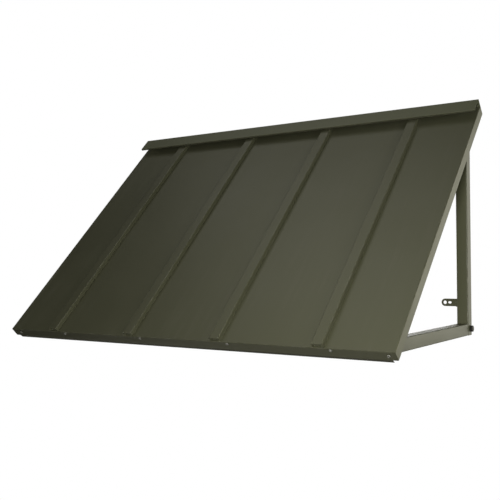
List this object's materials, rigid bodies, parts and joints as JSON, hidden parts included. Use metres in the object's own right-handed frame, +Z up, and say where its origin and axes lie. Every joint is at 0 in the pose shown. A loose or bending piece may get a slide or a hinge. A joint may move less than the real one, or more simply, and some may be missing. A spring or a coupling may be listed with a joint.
{
  "type": "standing-seam metal awning",
  "caption": "Sloping awning of folded sheet-metal pans with raised seams, head flashing and eave fascia, carried by triangular square-tube end frames that fix to a wall over a door or window.",
  "frame": {"origin": "the middle of the wall rail's back face, on the wall plane", "axes": "+X along the wall to the right as seen from the front, +Y into the wall, +Z up; the roof falls towards -Y"},
  "size_m": [1.118, 0.6094, 0.6182],
  "materials": {
    "roof_sheet": "satin olive-drab powder coat on folded steel sheet",
    "frame_tube": "satin olive-drab powder coat on welded square tube",
    "dark_bolts": "blackened steel",
    "zinc_fixings": "dull zinc-plated steel"
  },
  "bodies": {
    "root": {"eave_rail": "frame_tube", "fascia_screw_1": "zinc_fixings", "fascia_screw_2": "zinc_fixings", "fascia_screw_3": "zinc_fixings", "fascia_screw_4": "zinc_fixings", "fascia_screw_5": "zinc_fixings", "fascia_screw_6": "zinc_fixings", "flashing_screw_1": "zinc_fixings", "flashing_screw_2": "zinc_fixings", "flashing_screw_3": "zinc_fixings", "flashing_screw_4": "zinc_fixings", "front_fascia": "roof_sheet", "head_flashing": "roof_sheet", "head_purlin": "frame_tube", "left_arm": "frame_tube", "left_arm_bolt": "dark_bolts", "left_arm_nut": "dark_bolts", "left_post": "frame_tube", "left_rafter": "frame_tube", "left_strap_screw": "zinc_fixings", "left_wall_strap": "frame_tube", "mid_purlin": "frame_tube", "right_arm": "frame_tube", "right_arm_bolt": "dark_bolts", "right_arm_nut": "dark_bolts", "right_post": "frame_tube", "right_rafter": "frame_tube", "right_strap_screw": "zinc_fixings", "right_wall_strap": "frame_tube", "roof_pan_1": "roof_sheet", "roof_pan_2": "roof_sheet", "roof_pan_3": "roof_sheet", "roof_pan_4": "roof_sheet", "roof_pan_5": "roof_sheet", "seam_cap_1": "roof_sheet", "seam_cap_2": "roof_sheet", "seam_cap_3": "roof_sheet", "seam_cap_4": "roof_sheet", "seam_clip_head_1": "zinc_fixings", "seam_clip_head_2": "zinc_fixings", "seam_clip_head_3": "zinc_fixings", "seam_clip_head_4": "zinc_fixings", "seam_clip_mid_1": "zinc_fixings", "seam_clip_mid_2": "zinc_fixings", "seam_clip_mid_3": "zinc_fixings", "seam_clip_mid_4": "zinc_fixings", "wall_rail": "frame_tube"}
  },
  "joints": []
}
